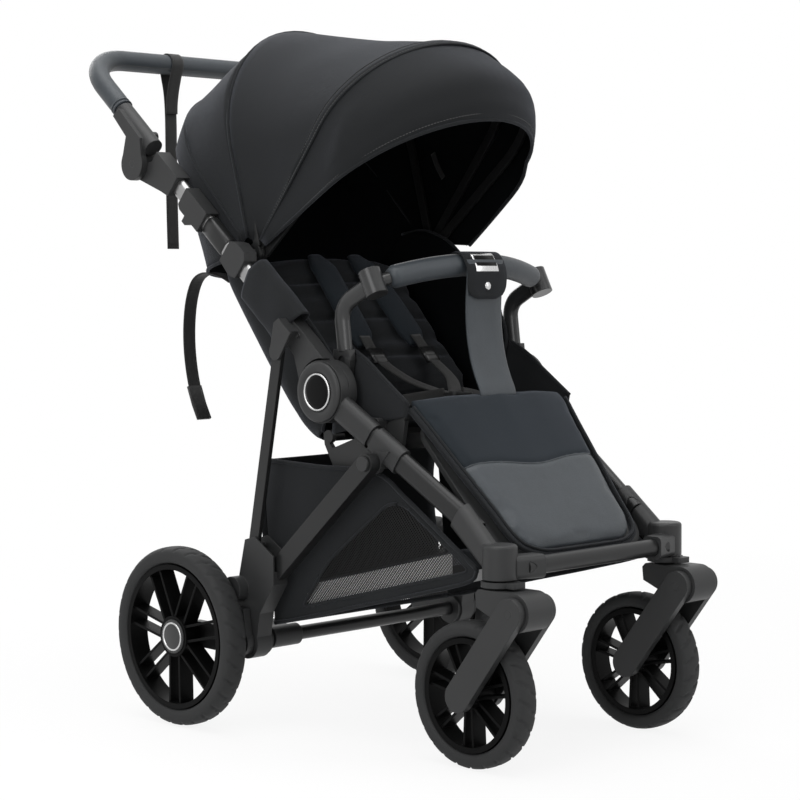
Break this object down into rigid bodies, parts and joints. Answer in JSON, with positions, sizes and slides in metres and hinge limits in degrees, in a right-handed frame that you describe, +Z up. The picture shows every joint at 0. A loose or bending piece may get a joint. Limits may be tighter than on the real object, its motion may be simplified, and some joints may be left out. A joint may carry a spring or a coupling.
{
  "type": "baby stroller",
  "caption": "Folding baby stroller with swivelling front wheels, sprung rear wheels, reclining padded seat, bumper bar, hooded canopy, tilting handle and under-seat basket",
  "frame": {"origin": "on the floor under the middle of the overall box", "axes": "+Z up, the stroller faces -Y, the pusher's right is -X"},
  "size_m": [0.6116, 1.004, 1.0985],
  "materials": {
    "frame_paint": "satin black",
    "charcoal_plastic": "satin charcoal",
    "rim_plastic": "satin black",
    "gloss_plastic": "half-gloss charcoal",
    "tyre": "matte rubber",
    "leatherette": "fine-grained, dull sheen",
    "black_cloth": "fine woven",
    "webbing": "woven webbing"
  },
  "bodies": {
    "chassis": {"front_tubes": "frame_paint", "hub_bases": "charcoal_plastic", "leg_brackets": "charcoal_plastic", "corner_brackets": "charcoal_plastic", "front_cross_tube": "frame_paint", "seat_base": "charcoal_plastic", "seat_pad": "black_cloth", "buckle": "gloss_plastic", "basket": "black_cloth", "crotch_strap": "leatherette"},
    "rear_frame": {"rear_legs": "frame_paint", "rear_brackets": "charcoal_plastic", "rear_axle_tube": "frame_paint"},
    "strut_pair": {"struts": "frame_paint"},
    "brake": {"brake_pedal": "charcoal_plastic"},
    "push_frame": {"push_tubes": "frame_paint", "hub_arms": "charcoal_plastic", "handle_sockets": "charcoal_plastic", "canopy_clamps": "charcoal_plastic"},
    "handle": {"handlebar": "charcoal_plastic", "handle_grip": "leatherette", "wrist_strap": "webbing"},
    "canopy_rear": {"canopy_rear_bow": "frame_paint", "canopy_back": "black_cloth", "canopy_rear_panel": "black_cloth"},
    "canopy_ridge": {"canopy_ridge_bow": "frame_paint", "canopy_front_panel": "black_cloth"},
    "canopy_front": {"canopy_front_bow": "frame_paint", "canopy_visor": "black_cloth"},
    "bumper": {"bumper_frame": "gloss_plastic", "bumper_cover": "leatherette"},
    "backrest": {"backrest_board": "charcoal_plastic", "backrest_pad": "black_cloth", "recline_strap": "webbing"},
    "leg_rest": {"leg_rest_board": "charcoal_plastic", "leg_rest_pad": "black_cloth", "leg_rest_cover": "leatherette"},
    "buckle_press": {"buckle_button": "gloss_plastic"},
    "swivel_lock_right": {"swivel_lock_right": "charcoal_plastic"},
    "swivel_right": {"swivel_head_right": "charcoal_plastic"},
    "fork_right": {"fork_right": "charcoal_plastic"},
    "front_wheel_right": {"front_rim_right": "rim_plastic", "front_tyre_right": "tyre"},
    "swing_right": {"swing_arm_right": "charcoal_plastic"},
    "rear_wheel_right": {"rear_rim_right": "rim_plastic", "rear_tyre_right": "tyre"},
    "trigger_right": {"fold_trigger_right": "charcoal_plastic"},
    "handle_button_right": {"handle_button_right": "gloss_plastic"},
    "bumper_button_right": {"bumper_button_right": "gloss_plastic"},
    "swivel_lock_left": {"swivel_lock_left": "charcoal_plastic"},
    "swivel_left": {"swivel_head_left": "charcoal_plastic"},
    "fork_left": {"fork_left": "charcoal_plastic"},
    "front_wheel_left": {"front_rim_left": "rim_plastic", "front_tyre_left": "tyre"},
    "swing_left": {"swing_arm_left": "charcoal_plastic"},
    "rear_wheel_left": {"rear_rim_left": "rim_plastic", "rear_tyre_left": "tyre"},
    "trigger_left": {"fold_trigger_left": "charcoal_plastic"},
    "handle_button_left": {"handle_button_left": "gloss_plastic"},
    "bumper_button_left": {"bumper_button_left": "gloss_plastic"}
  },
  "joints": [
    {"name": "fold", "type": "hinge", "parent": "chassis", "child": "push_frame", "pos_m": [0, -0.10077, 0.528], "axis": [1, 0, 0], "range_deg": [0, 95], "deforming": ["crotch_strap"]},
    {"name": "rear_leg_fold", "type": "hinge", "parent": "chassis", "child": "rear_frame", "pos_m": [0, -0.20077, 0.4265], "axis": [1, 0, 0], "range_deg": [0, 36]},
    {"name": "strut_fold", "type": "hinge", "parent": "rear_frame", "child": "strut_pair", "pos_m": [0, 0.04123, 0.286], "axis": [1, 0, 0], "range_deg": [0, 15]},
    {"name": "canopy_tuck", "type": "hinge", "parent": "push_frame", "child": "canopy_rear", "pos_m": [0, 0.08143, 0.73822], "axis": [1, 0, 0], "range_deg": [-26, 0]},
    {"name": "bumper_tilt", "type": "hinge", "parent": "chassis", "child": "bumper", "pos_m": [0, -0.10077, 0.528], "axis": [1, 0, 0], "range_deg": [0, 60]},
    {"name": "canopy_close", "type": "hinge", "parent": "canopy_rear", "child": "canopy_ridge", "pos_m": [0, 0.08143, 0.73822], "axis": [1, 0, 0], "range_deg": [-27, 0], "deforming": ["canopy_rear_panel", "canopy_front_panel"]},
    {"name": "canopy_front_fold", "type": "hinge", "parent": "canopy_ridge", "child": "canopy_front", "pos_m": [0, 0.08143, 0.73822], "axis": [1, 0, 0], "range_deg": [-7.6, 0]},
    {"name": "backrest_recline", "type": "hinge", "parent": "chassis", "child": "backrest", "pos_m": [0, -0.06477, 0.457], "axis": [-1, 0, 0], "range_deg": [-18, 32]},
    {"name": "leg_rest_tilt", "type": "hinge", "parent": "chassis", "child": "leg_rest", "pos_m": [0, -0.2201, 0.49506], "axis": [1, 0, 0], "range_deg": [-45, 0]},
    {"name": "handlebar_tilt", "type": "hinge", "parent": "push_frame", "child": "handle", "pos_m": [0, 0.32628, 0.88409], "axis": [1, 0, 0], "range_deg": [-42, 15]},
    {"name": "buckle_press_slide", "type": "slide", "parent": "chassis", "child": "buckle_press", "axis": [0, 0, -1], "range_m": [0, 0.002], "stiffness_N_per_m": 900},
    {"name": "brake_pedal_turn", "type": "hinge", "parent": "rear_frame", "child": "brake", "pos_m": [0, 0.05423, 0.138], "axis": [-1, 0, 0], "range_deg": [0, 25]},
    {"name": "swivel_right_turn", "type": "hinge", "parent": "chassis", "child": "swivel_right", "pos_m": [-0.1868, -0.42427, 0.262], "axis": [0, 0, 1], "continuous": true},
    {"name": "swivel_lock_right_turn", "type": "hinge", "parent": "chassis", "child": "swivel_lock_right", "pos_m": [-0.1868, -0.42427, 0.268], "axis": [0, 0, 1], "range_deg": [0, 20]},
    {"name": "front_suspension_right", "type": "hinge", "parent": "swivel_right", "child": "fork_right", "pos_m": [-0.1868, -0.47277, 0.234], "axis": [1, 0, 0], "range_deg": [0, 5], "stiffness_Nm_per_rad": 200, "springref_deg": -1.72},
    {"name": "front_wheel_right_spin", "type": "hinge", "parent": "fork_right", "child": "front_wheel_right", "pos_m": [-0.1868, -0.37477, 0.10575], "axis": [1, 0, 0], "continuous": true},
    {"name": "rear_suspension_right", "type": "hinge", "parent": "rear_frame", "child": "swing_right", "pos_m": [-0.25, 0.05423, 0.138], "axis": [1, 0, 0], "range_deg": [0, 5], "stiffness_Nm_per_rad": 250, "springref_deg": -1.72},
    {"name": "rear_wheel_right_spin", "type": "hinge", "parent": "swing_right", "child": "rear_wheel_right", "pos_m": [-0.2853, 0.16223, 0.14], "axis": [1, 0, 0], "continuous": true},
    {"name": "fold_trigger_right_slide", "type": "slide", "parent": "push_frame", "child": "trigger_right", "axis": [0, 0.7615, 0.6481], "range_m": [0, 0.018], "stiffness_N_per_m": 400},
    {"name": "handle_button_right_press", "type": "slide", "parent": "handle", "child": "handle_button_right", "axis": [-1, 0, 0], "range_m": [0, 0.003], "stiffness_N_per_m": 900},
    {"name": "bumper_button_right_press", "type": "slide", "parent": "bumper", "child": "bumper_button_right", "axis": [-1, 0, 0], "range_m": [0, 0.0025], "stiffness_N_per_m": 900},
    {"name": "swivel_left_turn", "type": "hinge", "parent": "chassis", "child": "swivel_left", "pos_m": [0.1868, -0.42427, 0.262], "axis": [0, 0, 1], "continuous": true},
    {"name": "swivel_lock_left_turn", "type": "hinge", "parent": "chassis", "child": "swivel_lock_left", "pos_m": [0.1868, -0.42427, 0.268], "axis": [0, 0, 1], "range_deg": [0, 20]},
    {"name": "front_suspension_left", "type": "hinge", "parent": "swivel_left", "child": "fork_left", "pos_m": [0.1868, -0.47277, 0.234], "axis": [1, 0, 0], "range_deg": [0, 5], "stiffness_Nm_per_rad": 200, "springref_deg": -1.72},
    {"name": "front_wheel_left_spin", "type": "hinge", "parent": "fork_left", "child": "front_wheel_left", "pos_m": [0.1868, -0.37477, 0.10575], "axis": [1, 0, 0], "continuous": true},
    {"name": "rear_suspension_left", "type": "hinge", "parent": "rear_frame", "child": "swing_left", "pos_m": [0.25, 0.05423, 0.138], "axis": [1, 0, 0], "range_deg": [0, 5], "stiffness_Nm_per_rad": 250, "springref_deg": -1.72},
    {"name": "rear_wheel_left_spin", "type": "hinge", "parent": "swing_left", "child": "rear_wheel_left", "pos_m": [0.2853, 0.16223, 0.14], "axis": [1, 0, 0], "continuous": true},
    {"name": "fold_trigger_left_slide", "type": "slide", "parent": "push_frame", "child": "trigger_left", "axis": [0, 0.7615, 0.6481], "range_m": [0, 0.018], "stiffness_N_per_m": 400},
    {"name": "handle_button_left_press", "type": "slide", "parent": "handle", "child": "handle_button_left", "axis": [1, 0, 0], "range_m": [0, 0.003], "stiffness_N_per_m": 900},
    {"name": "bumper_button_left_press", "type": "slide", "parent": "bumper", "child": "bumper_button_left", "axis": [1, 0, 0], "range_m": [0, 0.0025], "stiffness_N_per_m": 900}
  ],
  "couplings": [
    {"joint": "rear_leg_fold", "follows": "fold", "ratio": 0.32},
    {"joint": "strut_fold", "follows": "fold", "ratio": 0.13},
    {"joint": "canopy_tuck", "follows": "fold", "ratio": -0.25},
    {"joint": "bumper_tilt", "follows": "fold", "ratio": 0.54},
    {"joint": "canopy_front_fold", "follows": "canopy_close", "ratio": 0.27}
  ]
}
